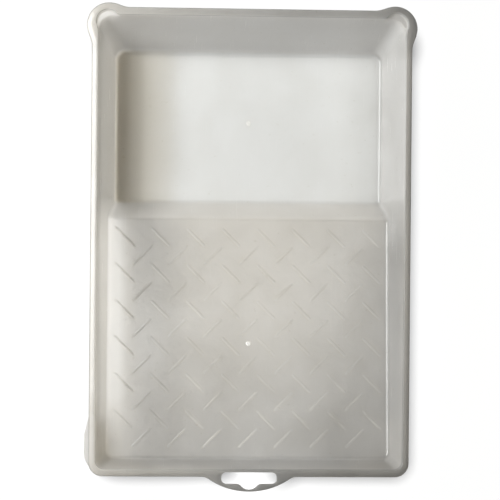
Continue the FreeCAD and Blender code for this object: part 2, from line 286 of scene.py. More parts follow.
def stations():
    """Sections of the wall's right half, from the rear's middle round to the front's.

    A row is the wall's top x, y, its foot x, y, z, the outward x, y, the fillet's radius and the
    floor's slope.
    """
    rows = []
    for k in range(COLUMNS + 1):
        u = k / COLUMNS
        top_x = u * (SIDE_IN - REAR_CORNER)
        low_x = u * (FLOOR_X - REAR_CORNER_LOW)
        rows.append((top_x, REAR_IN, low_x, FLOOR_REAR, WALL, 0, 1, REAR_FILLET, 0))
    for k in range(1, REAR_ARC + 1):
        a = math.pi / 2 * k / REAR_ARC
        nx, ny = math.sin(a), math.cos(a)
        radius = REAR_FILLET + (SIDE_FILLET - REAR_FILLET) * k / REAR_ARC
        top = (SIDE_IN - REAR_CORNER * (1 - nx), REAR_IN - REAR_CORNER * (1 - ny))
        low = (FLOOR_X - REAR_CORNER_LOW * (1 - nx), FLOOR_REAR - REAR_CORNER_LOW * (1 - ny))
        rows.append((*top, *low, WALL, nx, ny, radius, 0))
    y_start, y_end = FLOOR_REAR - REAR_CORNER_LOW, RAMP_FRONT + FRONT_CORNER_LOW
    top_start, top_end = REAR_IN - REAR_CORNER, FRONT_IN + FRONT_CORNER
    for y, z in floor_profile():
        along = (y_start - y) / (y_start - y_end)
        step = smooth((RAMP_REAR + STEP_RUN + 0.6 - y) / (STEP_RUN + 0.6))
        taper = (RAMP_REAR - y) / (RAMP_REAR - RAMP_FRONT)
        ramp_x = RAMP_REAR_X + (RAMP_FRONT_X - RAMP_REAR_X) * max(taper, 0)
        low_x = FLOOR_X + (ramp_x - FLOOR_X) * step
        slope = RAMP_FALL * float(y < RAMP_REAR)
        top_y = top_start + (top_end - top_start) * along
        rows.append((SIDE_IN, top_y, low_x, y, z, 1, 0, SIDE_FILLET, slope))
    low_x = RAMP_FRONT_X - FRONT_CORNER_LOW
    front_z = ramp_z(RAMP_FRONT)
    for k in range(1, FRONT_ARC + 1):
        a = math.pi / 2 * k / FRONT_ARC
        nx, ny = math.cos(a), -math.sin(a)
        top = (SIDE_IN - FRONT_CORNER * (1 - nx), FRONT_IN + FRONT_CORNER * (1 + ny))
        low = (low_x + FRONT_CORNER_LOW * nx, RAMP_FRONT + FRONT_CORNER_LOW * (1 + ny))
        rows.append((*top, *low, ramp_z(low[1]), nx, ny, SIDE_FILLET, RAMP_FALL))
    for k in range(COLUMNS - 1, -1, -1):
        u = k / COLUMNS
        top_x = u * (SIDE_IN - FRONT_CORNER)
        rows.append((top_x, FRONT_IN, u * low_x, RAMP_FRONT, front_z, 0, -1, SIDE_FILLET, RAMP_FALL))
    return np.array(rows, float)


class Shell:
    """Gathers the vertices and faces of one mesh, in millimetres."""

    def __init__(self):
        self.points = []
        self.faces = []
        self.flat = set()

    def add(self, points):
        first = len(self.points)
        self.points.extend(np.asarray(points, float).tolist())
        return list(range(first, len(self.points)))

    def face(self, *corners):
        distinct = list(dict.fromkeys(corners))
        if len(distinct) > 2:
            self.faces.append(distinct)

    def band(self, one, other, closed=False):
        count = len(one)
        for i in range(count if closed else count - 1):
            j = (i + 1) % count
            self.face(one[i], one[j], other[j], other[i])

    def flat_with_hole(self, outer, hole, gap, level):
        """A flat face between two loops; gap is less than level inside the hole."""
        names = list(outer) + list(hole)
        spots = [Vector(self.points[i][:2]) for i in names]
        edges = []
        for first, loop in ((0, outer), (len(outer), hole)):
            edges += [(first + i, first + (i + 1) % len(loop)) for i in range(len(loop))]
        _, _, triangles, origins, _, _ = delaunay_2d_cdt(spots, edges, [], 2, 1e-6)
        for triangle in triangles:
            corners = [names[origins[i][0]] for i in triangle]
            x, y, _ = np.mean([self.points[i] for i in corners], axis=0)
            if gap(x, y) > level:
                self.flat.add(len(self.faces))
                self.faces.append(corners)

    def build(self, name, sharp=32.0):
        mesh = bpy.data.meshes.new(name)
        work = bmesh.new()
        verts = [work.verts.new(Vector(p) * MM) for p in self.points]
        for number, corners in enumerate(self.faces):
            made = work.faces.new([verts[i] for i in corners])
            made.smooth = number not in self.flat
        loose = [v for v in work.verts if not v.link_faces]
        bmesh.ops.delete(work, geom=loose, context="VERTS")
        bmesh.ops.recalc_face_normals(work, faces=work.faces)
        work.to_mesh(mesh)
        work.free()
        mesh.set_sharp_from_angle(angle=math.radians(sharp))
        made = bpy.data.objects.new(name, mesh)
        bpy.context.scene.collection.objects.link(made)
        return made


def all_round(right):
    """A ring for the whole tray from the points of its right half."""
    left = right[-2:0:-1] * np.array((-1.0, 1.0, 1.0))
    return np.concatenate([right, left])


def moulding():
    """The tray's one continuous skin: basin, rim, skirt, pouring lips, tab with its slot and legs."""
    s = stations()
    count = len(s)
    total = 2 * count - 2
    top = s[:, 0:2]
    low = s[:, 2:5]
    out = s[:, 5:7]
    radius = s[:, 7:8]
    out3 = np.column_stack([out, np.zeros(count)])
    top3 = np.column_stack([top, np.full(count, TOP)])

    # Fillet between wall and floor, in the plane across the crease
    before = np.concatenate([low[1:2] * (-1, 1, 1), low[:-1]])
    after = np.concatenate([low[1:], low[-2:-1] * (-1, 1, 1)])
    crease = unit(after - before)
    up = top3 - low
    up = unit(up - crease * (up * crease).sum(1, keepdims=True))
    inward = np.column_stack([-out, s[:, 8] * out[:, 1]])
    inward = unit(inward - crease * (inward * crease).sum(1, keepdims=True))
    angle = np.arccos((up * inward).sum(1, keepdims=True))
    centre = low + unit(up + inward) * radius / np.sin(angle / 2)
    tangent = radius / np.tan(angle / 2)
    wall_end = low + up * tangent
    spoke_wall = unit(wall_end - centre)
    spoke_floor = unit(low + inward * tangent - centre)
    swing = np.pi - angle

    def spoke(t):
        return (spoke_wall * np.sin((1 - t) * swing) + spoke_floor * np.sin(t * swing)) / np.sin(swing)

    def on_wall(z, outward=0.0):
        share = (z - wall_end[:, 2:3]) / (TOP - wall_end[:, 2:3])
        p = wall_end + (top3 - wall_end) * share
        return p + out3 * np.reshape(outward, (-1, 1))

    # Width of the pouring lip's ledge along each section
    to_lip = top - np.array((LIP_X, LIP_Y))
    along = (to_lip * out).sum(1)
    inside = LIP_RADIUS**2 - (to_lip**2).sum(1) + along**2
    lip = np.where(inside > 0, -along + np.sqrt(np.maximum(inside, 0)), 0.0)
    lip = np.maximum(lip, 0.0)
    lip_share = smooth(lip / 1.2)

    # The tab is flat to near its edge; the spouts' skirts are deeper
    tab = smooth((27.0 - np.abs(top[:, 0])) / 5.0) * (out[:, 1] < -0.9)
    edge_s = reach(outline_gap, top, out, 0.0)
    edge = top + out * edge_s[:, None]
    spout_side = smooth((edge[:, 1] - spout_low[1]) / 6.0) * smooth((edge[:, 0] - spout_low[0]) / 6.0)
    depth = SKIRT + (SPOUT_SKIRT - SKIRT) * spout_side
    depth = depth + (TAB_SKIRT - depth) * tab
    drop_scale = 1 - tab
    skin = WALL - 0.5 * tab

    def at(distance, z):
        return np.column_stack([top + out * np.reshape(distance, (-1, 1)), np.broadcast_to(z, count)])

    def dropped(inset, drop):
        full = drop * drop_scale
        rounding = max(0.0, 0.6 - inset) / 0.6
        return full + (1 - drop_scale) * 0.6 * (1 - math.sqrt(max(0.0, 1 - rounding**2)))

    shell = Shell()
    rings = {}

    def ring(name, right):
        rings[name] = shell.add(all_round(right))

    inner = lip + RIM_INNER_ROUND
    rim_names = []
    last = inner
    for inset, drop in RIM_SECTION:
        distance = reach(outline_gap, top, out, -inset) if inset else edge_s
        distance = np.maximum(distance, last + 0.02)
        last = distance
        name = "rim %g" % inset
        if not rim_names:
            ring("flange", at((inner + distance) / 2, TOP))
            rim_names.append("flange")
        ring(name, at(distance, TOP - dropped(inset, drop)))
        rim_names.append(name)
    tip = TOP - depth
    skin_s = np.maximum(edge_s - skin, inner + 0.1)
    ring("skirt out", at(edge_s, np.minimum(tip + 0.25, TOP - dropped(0.0, RIM_SECTION[-1][1]) - 0.05)))
    ring("skirt tip", at((edge_s + skin_s) / 2, tip))
    ring("skirt in", at(skin_s, np.minimum(tip + 0.25, TOP - WALL - 0.1)))
    under_z = np.maximum(TOP - WALL - 0.45 * drop_scale, tip + 0.3)
    ring("channel out", at(skin_s, under_z))

    inner_names = []
    for k in range(4):
        a = math.pi / 2 * (1 - k / 3)
        z = TOP - RIM_INNER_ROUND * (1 - math.sin(a))
        name = "inner %d" % k
        ring(name, on_wall(z, lip + RIM_INNER_ROUND * (1 - math.cos(a))))
        inner_names.append(name)
    ledge = TOP - LIP_DEPTH
    ring("ledge 3", on_wall(ledge + 0.55, lip))
    ring("ledge 2", on_wall(ledge + 0.12, np.maximum(lip - 0.35 * lip_share, 0)))
    ring("ledge 1", on_wall(ledge - 0.08, 0.4 * lip_share))
    ring("ledge 0", on_wall(ledge - 0.6))
    wall_names = ["ledge 3", "ledge 2", "ledge 1", "ledge 0"]
    start_z = ledge - 0.6
    for k in range(1, WALL_STEPS):
        z = start_z + (wall_end[:, 2:3] - start_z) * k / WALL_STEPS
        ring("wall %d" % k, on_wall(z))
        wall_names.append("wall %d" % k)
    for k in range(FILLET_STEPS + 1):
        ring("fillet %d" % k, centre + spoke(k / FILLET_STEPS) * radius)
        wall_names.append("fillet %d" % k)

    draft = WALL / np.maximum((spoke_wall * out3).sum(1), 0.5)
    under_lip = on_wall(TOP - WALL, lip + draft)
    under_lip[:, 1] = np.where(tab > 0.5, np.maximum(under_lip[:, 1], SLOT_REAR + 0.25), under_lip[:, 1])
    ring("under rim", under_lip)
    ring("under ledge 1", on_wall(ledge - WALL + 0.2, lip + draft * (1 - 0.3 * lip_share)))
    ring("under ledge 0", on_wall(ledge - WALL - 0.25, draft))
    under_names = ["under rim", "under ledge 1", "under ledge 0"]
    start_z = ledge - WALL - 0.4
    for k in range(1, WALL_STEPS):
        z = start_z + (wall_end[:, 2:3] - start_z) * k / WALL_STEPS
        ring("under wall %d" % k, on_wall(z) + spoke_wall * WALL)
        under_names.append("under wall %d" % k)
    for k in range(FILLET_STEPS + 1):
        ring("under fillet %d" % k, centre + spoke(k / FILLET_STEPS) * (radius + WALL))
        under_names.append("under fillet %d" % k)

    # Columns that the slot and the legs replace
    slot_first = int(np.argmax((np.arange(count) > count - COLUMNS) & (top[:, 0] < SLOT_COLUMNS_X)))
    slot_columns = range(slot_first, total - slot_first)
    on_side = (edge[:, 1] <= LEG_SIDE_TOP) & (out[:, 0] > 0.9)
    leg_first = int(np.argmax(on_side))
    leg_last = int(np.max(np.nonzero((edge[:, 0] >= LEG_FRONT_TOP) & (out[:, 1] < -0.9))))

    def in_leg(m):
        right = leg_first <= m < leg_last
        left = total - leg_last <= m < total - leg_first
        return right or left

    def bands(names, skipped=()):
        for one, other in zip(names, names[1:]):
            for m in range(total):
                if m in skipped:
                    continue
                n = (m + 1) % total
                shell.face(rings[one][m], rings[one][n], rings[other][n], rings[other][m])

    flat_rim = rim_names[: rim_names.index("rim 0.6") + 1]
    bands(["inner 0"] + flat_rim, slot_columns)
    bands(rim_names[len(flat_rim) - 1 :] + ["skirt out"])
    bands(["skirt out", "skirt tip", "skirt in"], [m for m in range(total) if in_leg(m)])
    bands(["skirt in", "channel out"])
    bands(["channel out", "under rim"], slot_columns)
    bands(inner_names + wall_names)
    bands(under_names)

    add_slot(shell, rings, slot_first, total - slot_first, flat_rim)
    add_bottom(shell, rings, count, total, spoke_floor)
    for side in (1, -1):
        add_leg(shell, rings, edge, out, leg_first, leg_last, total, side)
    return shell.build("tray_moulding")


def add_slot(shell, rings, first, last, flat_rim):
    """The flat of the tab above and below, with the slot through it."""
    def around(outer_names):
        outer = [rings[outer_names[0]][m] for m in range(first, last + 1)]
        outer += [rings[name][last] for name in outer_names[1:-1]]
        outer += [rings[outer_names[-1]][m] for m in range(last, first - 1, -1)]
        outer += [rings[name][first] for name in outer_names[-2:0:-1]]
        return outer

    # Points that the slot's edge is to have, all the way round
    straight = SLOT_HALF - SLOT_CORNER
    targets = [(x, SLOT_REAR) for x in np.linspace(-straight, straight, SLOT_REAR_POINTS)]
    corners = ((1, SLOT_REAR, 90), (1, SLOT_FRONT, 0), (-1, SLOT_FRONT, -90), (-1, SLOT_REAR, 180))
    for side, y, turn in corners:
        y_centre = y - SLOT_CORNER if y == SLOT_REAR else y + SLOT_CORNER
        for k in range(SLOT_ARC):
            a = math.radians(turn - 90 * (k + 0.5) / SLOT_ARC)
            x = side * straight + SLOT_CORNER * math.cos(a)
            targets.append((x, y_centre + SLOT_CORNER * math.sin(a)))
    for x in np.linspace(straight, -straight, SLOT_FRONT_POINTS):
        deep = max(NOTCH_RADIUS**2 - x * x, 0.0)
        targets.append((x, min(SLOT_FRONT, NOTCH_Y - math.sqrt(deep))))
    middle = np.array((0.0, NOTCH_Y))
    directions = unit(np.array(targets) - middle)
    turns = np.unique(np.round(np.arctan2(directions[:, 1], directions[:, 0]), 5))
    directions = np.column_stack([np.cos(turns), np.sin(turns)])
    start = np.repeat(middle[None, :], len(directions), axis=0)
    loops = []
    bottom = TOP - WALL
    edge = ((SLOT_EDGE, TOP), (0.07, TOP - 0.07), (0.0, TOP - 0.25), (0.0, bottom + 0.2))
    for level, z in (*edge, (SLOT_EDGE_LOW, bottom)):
        distance = reach(slot_gap, start, directions, level)
        p = start + directions * distance[:, None]
        loops.append(shell.add(np.column_stack([p, np.full(len(p), z)])))
    for one, other in zip(loops, loops[1:]):
        shell.band(one, other, closed=True)
    shell.flat_with_hole(around(["inner 0"] + flat_rim), loops[0], slot_gap, SLOT_EDGE)
    shell.flat_with_hole(around(["under rim", "channel out"]), loops[-1], slot_gap, SLOT_EDGE_LOW)


def add_bottom(shell, rings, count, total, spoke_floor):
    """Well floor, step and ramp, on top and underneath: lines straight across between the sides."""
    last = count - 1 - COLUMNS
    for name, offset in (("fillet %d" % FILLET_STEPS, 0.0), ("under fillet %d" % FILLET_STEPS, WALL)):
        edge = rings[name]
        lines = [[edge[(total - (COLUMNS - k)) % total] for k in range(COLUMNS)] + edge[: COLUMNS + 1]]
        for j in range(COLUMNS + 1, last):
            x, y, z = shell.points[edge[j]]
            across = np.linspace(-x, x, 2 * COLUMNS + 1)[1:-1]
            between = shell.add([(v, y, z) for v in across])
            lines.append([edge[total - j]] + between + [edge[j]])
        lines.append([edge[m] for m in range(total - last, last - 1, -1)])
        for one, other in zip(lines, lines[1:]):
            shell.band(one, other)


def add_leg(shell, rings, edge, out, first, last, total, side):
    """A front corner leg: the skirt carried down to the table, flared and narrowing to its foot."""
    columns = range(first, last + 1)
    centre = np.array((SIDE_OUT - FRONT_OUTLINE_RADIUS, FRONT_OUT + FRONT_OUTLINE_RADIUS))
    foot_radius = FRONT_OUTLINE_RADIUS + LEG_FLARE
    feet, faces_out = [], []
    for j in columns:
        x, y = edge[j]
        if y > centre[1]:
            share = (LEG_SIDE_FOOT - centre[1]) / (LEG_SIDE_TOP - centre[1])
            foot = (SIDE_OUT + LEG_FLARE, centre[1] + (y - centre[1]) * share)
            normal = (1.0, 0.0)
        elif x < centre[0]:
            share = (centre[0] - LEG_FRONT_FOOT) / (centre[0] - LEG_FRONT_TOP)
            foot = (centre[0] + (x - centre[0]) * share, FRONT_OUT - LEG_FLARE)
            normal = (0.0, -1.0)
        else:
            normal = unit(np.array((x, y)) - centre)
            foot = centre + normal * foot_radius
        feet.append(foot)
        faces_out.append(normal)
    feet, faces_out = np.array(feet), np.array(faces_out)

    def name_of(j):
        return j if side == 1 else (total - j) % total

    def rows(ring_name, inset):
        top_ids = [rings[ring_name][name_of(j)] for j in columns]
        top = np.array([shell.points[i] for i in top_ids])
        top[:, 0] *= side
        foot = np.column_stack([feet - faces_out * inset, np.full(len(feet), 0.3)])
        made = [top_ids]
        for k in range(1, LEG_STEPS + 1):
            p = top + (foot - top) * k / LEG_STEPS
            p[:, 0] *= side
            made.append(shell.add(p))
        return made

    outer = rows("skirt out", 0.0)
    inner = rows("skirt in", WALL)
    sole = np.column_stack([feet - faces_out * WALL / 2, np.zeros(len(feet))])
    sole[:, 0] *= side
    sole = shell.add(sole)
    for grid in (outer, inner):
        for one, other in zip(grid, grid[1:]):
            shell.band(one, other)
    shell.band(outer[-1], sole)
    shell.band(sole, inner[-1])
    for end, j in ((0, first), (-1, last)):
        for k in range(LEG_STEPS):
            shell.face(outer[k][end], outer[k + 1][end], inner[k + 1][end], inner[k][end])
        shell.face(outer[-1][end], sole[end], inner[-1][end])
        shell.face(outer[0][end], inner[0][end], rings["skirt tip"][name_of(j)])


def grip_ribs():
    """Short rounded bars with tapered ends, in alternating slants on the ramp."""
    shell = Shell()
    lengths = (-1.0, -0.94, -0.86, -0.74, -0.5, -0.2, 0.2, 0.5, 0.74, 0.86, 0.94, 1.0)
    widths = (-1.0, -0.78, -0.5, -0.2, 0.2, 0.5, 0.78, 1.0)
    tilt = math.atan(RAMP_FALL)
    for row in range(RIB_ROWS):
        for per_row, slant, shift in ((7, 45.0, 0.0), (8, -45.0, 0.5)):
            y0 = RIB_FIRST_ROW + (row + shift) * RIB_PITCH_Y
            for i in range(per_row):
                x0 = (i - (per_row - 1) / 2) * RIB_PITCH_X
                height = RIB_HEIGHT * RANDOM.uniform(0.85, 1.05)
                place = Matrix.Translation((x0, y0, ramp_z(y0))) @ Matrix.Rotation(-tilt, 4, "X")
                place = place @ Matrix.Rotation(math.radians(slant), 4, "Z")
                sections = []
                for a in lengths:
                    end = 1 - smooth((abs(a) - 0.72) / 0.28)
                    narrow = 0.5 + 0.5 * math.sqrt(max(0.0, 1 - max(0.0, (abs(a) - 0.8) / 0.2) ** 2))
                    loop = []
                    for b in widths:
                        z = height * end * (1 - b * b) - 0.02 * (1 - end)
                        loop.append((a * RIB_LENGTH / 2, b * narrow * RIB_WIDTH / 2, z))
                    loop.append((a * RIB_LENGTH / 2, 0.5 * narrow * RIB_WIDTH / 2, -0.35))
                    loop.append((a * RIB_LENGTH / 2, -0.5 * narrow * RIB_WIDTH / 2, -0.35))
                    sections.append(shell.add([tuple(place @ Vector(p)) for p in loop]))
                for one, other in zip(sections, sections[1:]):
                    shell.band(one, other, closed=True)
                shell.face(*sections[0])
                shell.face(*sections[-1])
    return shell.build("grip_ribs", 60.0)


def rim_webs():
    """Thin webs across the channel under the rim, beside the pouring corners and the legs."""
    shell = Shell()
    rim_y = (spout_low[1] - 0.5, LEG_SIDE_TOP + 0.5)
    webs = [("y", y, SIDE_IN + 0.9, SIDE_OUT - WALL + 0.3) for y in rim_y]
    webs.append(("x", LEG_FRONT_TOP - 0.5, FRONT_IN - 0.9, FRONT_OUT + WALL - 0.3))
    for axis, middle, start, end in webs:
        for side in (1, -1):
            grids = []
            for face in (-WEB_HALF, WEB_HALF):
                rows = []
                for k in range(WEB_STEPS + 1):
                    t = k / WEB_STEPS
                    low = TOP - SKIRT + WEB_SAG * 4 * t * (1 - t)
                    across = start + (end - start) * t
                    heights = (TOP - WALL + 0.1, TOP - WALL - 0.4, low + 0.5, low + 0.25)
                    cells = []
                    for z, swell in zip(heights, WEB_SWELL):
                        if axis == "y":
                            cells.append((side * across, middle + face * swell, z))
                        else:
                            cells.append((side * (middle + face * swell), across, z))
                    rows.append(shell.add(cells))
                grids.append(rows)
            one, other = grids
            for grid in grids:
                for a, b in zip(grid, grid[1:]):
                    shell.band(a, b)
            for k in range(WEB_STEPS):
                shell.face(one[k][0], one[k + 1][0], other[k + 1][0], other[k][0])
                shell.face(one[k][-1], one[k + 1][-1], other[k + 1][-1], other[k][-1])
            for k in (0, -1):
                shell.band(one[k], other[k])
    return shell.build("rim_webs", 40.0)


def gate_mark(name, y):
    """The scar of an injection gate: a low uneven ring with a dimple in it."""
    shell = Shell()
    surface = WALL if y > RAMP_REAR else ramp_z(y)
    fall = 0.0 if y > RAMP_REAR else RAMP_FALL
    rows = []
    for radius, height in GATE_PROFILE:
        row = []
        for k in range(GATE_SPOKES):
            a = 2 * math.pi * k / GATE_SPOKES
            uneven = 1 + 0.07 * math.sin(3 * a + 0.6) + 0.04 * math.sin(5 * a)
            x, dy = radius * uneven * math.cos(a), radius * uneven * math.sin(a)
            row.append((x, y + dy, surface + height * (1 + 0.25 * math.sin(2 * a)) - dy * fall))
        rows.append(shell.add(row) if radius else shell.add(row[:1]) * GATE_SPOKES)
    for one, other in zip(rows, rows[1:]):
        shell.band(one, other, closed=True)
    shell.face(*rows[0])
    return shell.build(name, 60.0)


class Nodes:
    """A short way to write a node tree."""

    def __init__(self, material):
        self.tree = material.node_tree
        self.tree.nodes.clear()

    def put(self, socket, value):
        if isinstance(value, bpy.types.NodeSocket):
            self.tree.links.new(value, socket)
        else:
            socket.default_value = value

    def add(self, kind, inputs=None, **settings):
        node = self.tree.nodes.new(kind)
        for name, value in settings.items():
            setattr(node, name, value)
        for name, value in (inputs or {}).items():
            self.put(node.inputs[name], value)
        return node

    def noise(self, vector, scale, detail=3.0, rough=0.5, distortion=0.0):
        inputs = {"Vector": vector, "Scale": scale, "Detail": detail}
        inputs.update({"Roughness": rough, "Distortion": distortion})
        return self.add("ShaderNodeTexNoise", inputs).outputs["Fac"]

    def stretched(self, vector, scale, turn=0.0):
        inputs = {"Vector": vector, "Scale": scale, "Rotation": (0, 0, math.radians(turn))}
        return self.add("ShaderNodeMapping", inputs).outputs["Vector"]

    def remap(self, value, low, high, to_low, to_high):
        inputs = {"Value": value, "From Min": low, "From Max": high, "To Min": to_low, "To Max": to_high}
        return self.add("ShaderNodeMapRange", inputs).outputs["Result"]

    def math(self, operation, first, *others):
        """The values taken together two at a time, from the left."""
        for other in others:
            node = self.add("ShaderNodeMath", operation=operation)
            self.put(node.inputs[0], first)
            self.put(node.inputs[1], other)
            first = node.outputs[0]
        return first

    def product(self, *values):
        return self.math("MULTIPLY", *values)

    def total(self, *values):
        return self.math("ADD", *values)

    def greatest(self, *values):
        return self.math("MAXIMUM", *values)

    def rest(self, share):
        return self.math("SUBTRACT", 1.0, share)

    def mix(self, share, a, b, blend="MIX"):
        node = self.add("ShaderNodeMix", data_type="RGBA", blend_type=blend)
        for name, value in ((0, share), (6, a), (7, b)):
            self.put(node.inputs[name], value)
        return node.outputs[2]

    def bump(self, height, strength, distance, normal=None):
        inputs = {"Height": height, "Strength": strength, "Distance": distance}
        if normal:
            inputs["Normal"] = normal
        return self.add("ShaderNodeBump", inputs).outputs[0]


class Places:
    """Shares, from 0 to 1, that say where on the tray a point is, with positions in millimetres."""

    def __init__(self, nodes, place):
        self.nodes = nodes
        self.axes = nodes.add("ShaderNodeSeparateXYZ", {"Vector": place}).outputs

    def across(self, start, end, low=0.0, high=1.0):
        return self.nodes.remap(self.axes["X"], start * MM, end * MM, low, high)

    def along(self, start, end, low=0.0, high=1.0):
        return self.nodes.remap(self.axes["Y"], start * MM, end * MM, low, high)

    def height(self, start, end, low=0.0, high=1.0):
        return self.nodes.remap(self.axes["Z"], start * MM, end * MM, low, high)

    @functools.cached_property
    def steep(self):
        normal = self.nodes.add("ShaderNodeTexCoord").outputs["Normal"]
        upward = self.nodes.add("ShaderNodeSeparateXYZ", {"Vector": normal}).outputs["Z"]
        return self.nodes.remap(self.nodes.math("ABSOLUTE", upward, 0.0), 0.4, 0.85, 1.0, 0.0)

    @functools.cached_property
    def rim(self):
        return self.height(TOP - 2.4, TOP - 1.2)

    @functools.cached_property
    def floor(self):
        return self.height(1.5, 2.5, 1.0, 0.0)

    # How far a point lies to the right of the shade by the left wall, for the painted light and the
    # painted shade tint on the reservoir floor.
    @functools.cached_property
    def past_left_shade(self):
        return self.across(-71.0, -40.0)

    @functools.cached_property
    def ramp(self):
        n = self.nodes
        return n.product(self.height(2.0, 4.0), n.rest(self.steep), n.rest(self.rim))


def painted_shade_share(n, at):
    """Painted shade: the rim, darker to the right, the front and the right spout, its rolled outer edge,
    the steep walls, a shadow band on the ramp beside its left wall, and the ramp's right side.
    """
    # Painted shade on the rim: darker towards the right, the front and the right spout, away from the
    # light.
    lengthwise = n.total(at.along(-140.0, 90.0, 1.5, 0.65), at.along(110.0, 130.0, 0.0, 0.35))
    right_spout = n.product(at.across(70.0, 85.0, 0.0, 0.5), at.along(110.0, 125.0))
    rim = n.product(at.across(-90.0, 20.0, 0.0, RIM_PAINTED_SHADE), n.total(lengthwise, right_spout), at.rim)
    # Painted shade on the steep walls, stronger on the right.
    walls = n.product(at.steep, at.across(60.0, 80.0, WALL_PAINTED_SHADE, WALL_PAINTED_SHADE * 1.5))
    # Painted shade along the rim's rolled outer edge, drawing it as a thin dark outline.
    edge_low = at.height(TOP - 1.28, TOP - 1.2, 0.0, EDGE_PAINTED_SHADE)
    edges = n.product(edge_low, at.height(TOP - 0.75, TOP - 0.5, 1.0, 0.0))
    # Painted shadow of the left wall: a darker band along the ramp, a little in from that wall.
    band = n.product(at.across(-76.5, -66.0, 0.0, RAMP_BAND_PAINTED_SHADOW), at.across(-58.0, -36.0, 1.0, 0.0), at.ramp)
    # Painted shade on the ramp's right side.
    right = n.product(at.across(20.0, 60.0, 0.0, RAMP_RIGHT_PAINTED_SHADE), at.ramp)
    return n.greatest(rim, walls, edges, band, right)


def painted_light_share(n, at, front_painted_glint):
    """Painted light: a lit strip along the ramp's left side, the reservoir floor lighter beside the left
    wall's shade and a little lighter elsewhere, and painted glints on the ribs at the ramp's front.
    """
    # Painted light: a lit strip along the ramp's left edge.
    strip = n.product(at.across(-76.5, -71.0, 1.0, 0.0), at.along(-114.0, -88.0, 0.0, STRIP_PAINTED_LIGHT))
    strip = n.product(strip, at.ramp)
    # Painted light: the reservoir floor's shade by the left wall lifted, and the rest of that floor a
    # little lighter.
    floor_left_painted_light = n.product(at.across(-74.5, -70.0, 0.0, 0.55), at.across(-62.0, -48.0, 1.0, 0.0))
    floor = n.product(n.greatest(floor_left_painted_light, n.product(at.past_left_shade, 0.13)), at.floor)
    # The lit strip, the floor's painted light, and painted glints: the ribs at the ramp's front lightened.
    return n.greatest(strip, floor, at.along(-118.0, -100.0, front_painted_glint, 0.0))


def scuff_marks(n, place):
    """Fine straight scratches in two directions."""
    one = n.noise(n.stretched(place, (1500.0, 35.0, 35.0), 38.0), 1.0, 2.0, 0.6, 0.4)
    other = n.noise(n.stretched(place, (1300.0, 30.0, 30.0), -52.0), 1.0, 2.0, 0.6, 0.5)
    return n.greatest(n.remap(one, 0.66, 0.8, 0.0, 1.0), n.remap(other, 0.68, 0.82, 0.0, 1.0))


def body_colour(n, place, clouds, scuffs, tint):
    """Cloudy off-white with flow streaks, a few dull specks and paler scuffs."""
    warm = (0.85 * tint, 0.842 * tint, 0.822 * tint, 1.0)
    pale = (0.882 * tint, 0.876 * tint, 0.86 * tint, 1.0)
    dull = (0.74 * tint, 0.72 * tint, 0.67 * tint, 1.0)
    flow = n.noise(n.stretched(place, (260.0, 26.0, 60.0)), 1.0, 3.0, 0.6, 0.8)
    specks = n.noise(place, 420.0, 1.0, 0.4)
    body = n.mix(n.remap(clouds, 0.3, 0.7, 0.0, 1.0), warm, pale)
    body = n.mix(n.remap(flow, 0.35, 0.75, 0.0, 0.35), body, warm)
    body = n.mix(n.remap(specks, 0.72, 0.8, 0.0, 0.35), body, dull)
    return n.mix(n.product(scuffs, 0.12), body, pale)


def milky_plastic(name, tint=1.0, through=0.85, warmth=1.0, front_painted_glint=0.0):
    """Translucent natural polypropylene: cloudy, faintly streaked from the gate, finely scuffed, with
    painted light and painted shade mixed into its colour by place.
    """
    material = bpy.data.materials.new(name)
    material.use_nodes = True
    n = Nodes(material)
    place = n.add("ShaderNodeTexCoord").outputs["Object"]
    at = Places(n, place)
    clouds = n.noise(place, 28.0, 4.0, 0.55, 0.6)
    grain = n.noise(place, 900.0, 2.0, 0.5)
    scuffs = scuff_marks(n, place)
    body = body_colour(n, place, clouds, scuffs, tint)
    # Painted light, then painted shade, mixed into the body colour by place.
    body = n.mix(painted_light_share(n, at, front_painted_glint), body, PAINTED_LIGHT_COLOUR)
    body = n.mix(painted_shade_share(n, at), body, (0.0, 0.0, 0.0, 1.0))
    rough = n.total(n.remap(clouds, 0.3, 0.7, 0.2, 0.25), n.product(scuffs, 0.14))
    rough = n.total(rough, n.remap(grain, 0.3, 0.7, -0.03, 0.03))
    normal = n.bump(grain, 0.02, 0.0002)
    normal = n.bump(scuffs, 0.06, 0.0002, normal)
    normal = n.bump(clouds, 0.12, 0.004, normal)

    finish = {"Roughness": rough, "Normal": normal}
    surface = n.add("ShaderNodeBsdfPrincipled", {"Base Color": body, "IOR": 1.49, **finish})
    tray_glow = (1.0, 1 - 0.02 * warmth, 1 - 0.055 * warmth, 1.0)
    # Painted shade tint: the light through the reservoir floor warmer towards the left wall, where the
    # floor lies in shade.
    floor_painted_shade_tint = n.mix(at.past_left_shade, (1.0, 0.962, 0.885, 1.0), (1.0, 0.994, 0.976, 1.0))
    glow_colour = n.mix(1.0, body, n.mix(at.floor, tray_glow, floor_painted_shade_tint), "MULTIPLY")
    glow = n.add("ShaderNodeBsdfTranslucent", {"Color": glow_colour, "Normal": normal})
    milkier = n.product(at.steep, at.along(0.0, 30.0, WALL_MILKIER * 0.4, WALL_MILKIER))
    share = n.math("SUBTRACT", n.remap(clouds, 0.3, 0.7, through + 0.03, through - 0.03), milkier)
    both = n.add("ShaderNodeMixShader", {0: share, 1: surface.outputs[0], 2: glow.outputs[0]})
    shine = n.mix(at.rim, (0.03, 0.03, 0.03, 1.0), (0.021, 0.021, 0.021, 1.0))
    sheen = n.add("ShaderNodeBsdfGlossy", {"Color": shine, **finish})
    whole = n.add("ShaderNodeAddShader", {0: both.outputs[0], 1: sheen.outputs[0]})
    n.add("ShaderNodeOutputMaterial", {"Surface": whole.outputs[0]})
    return material


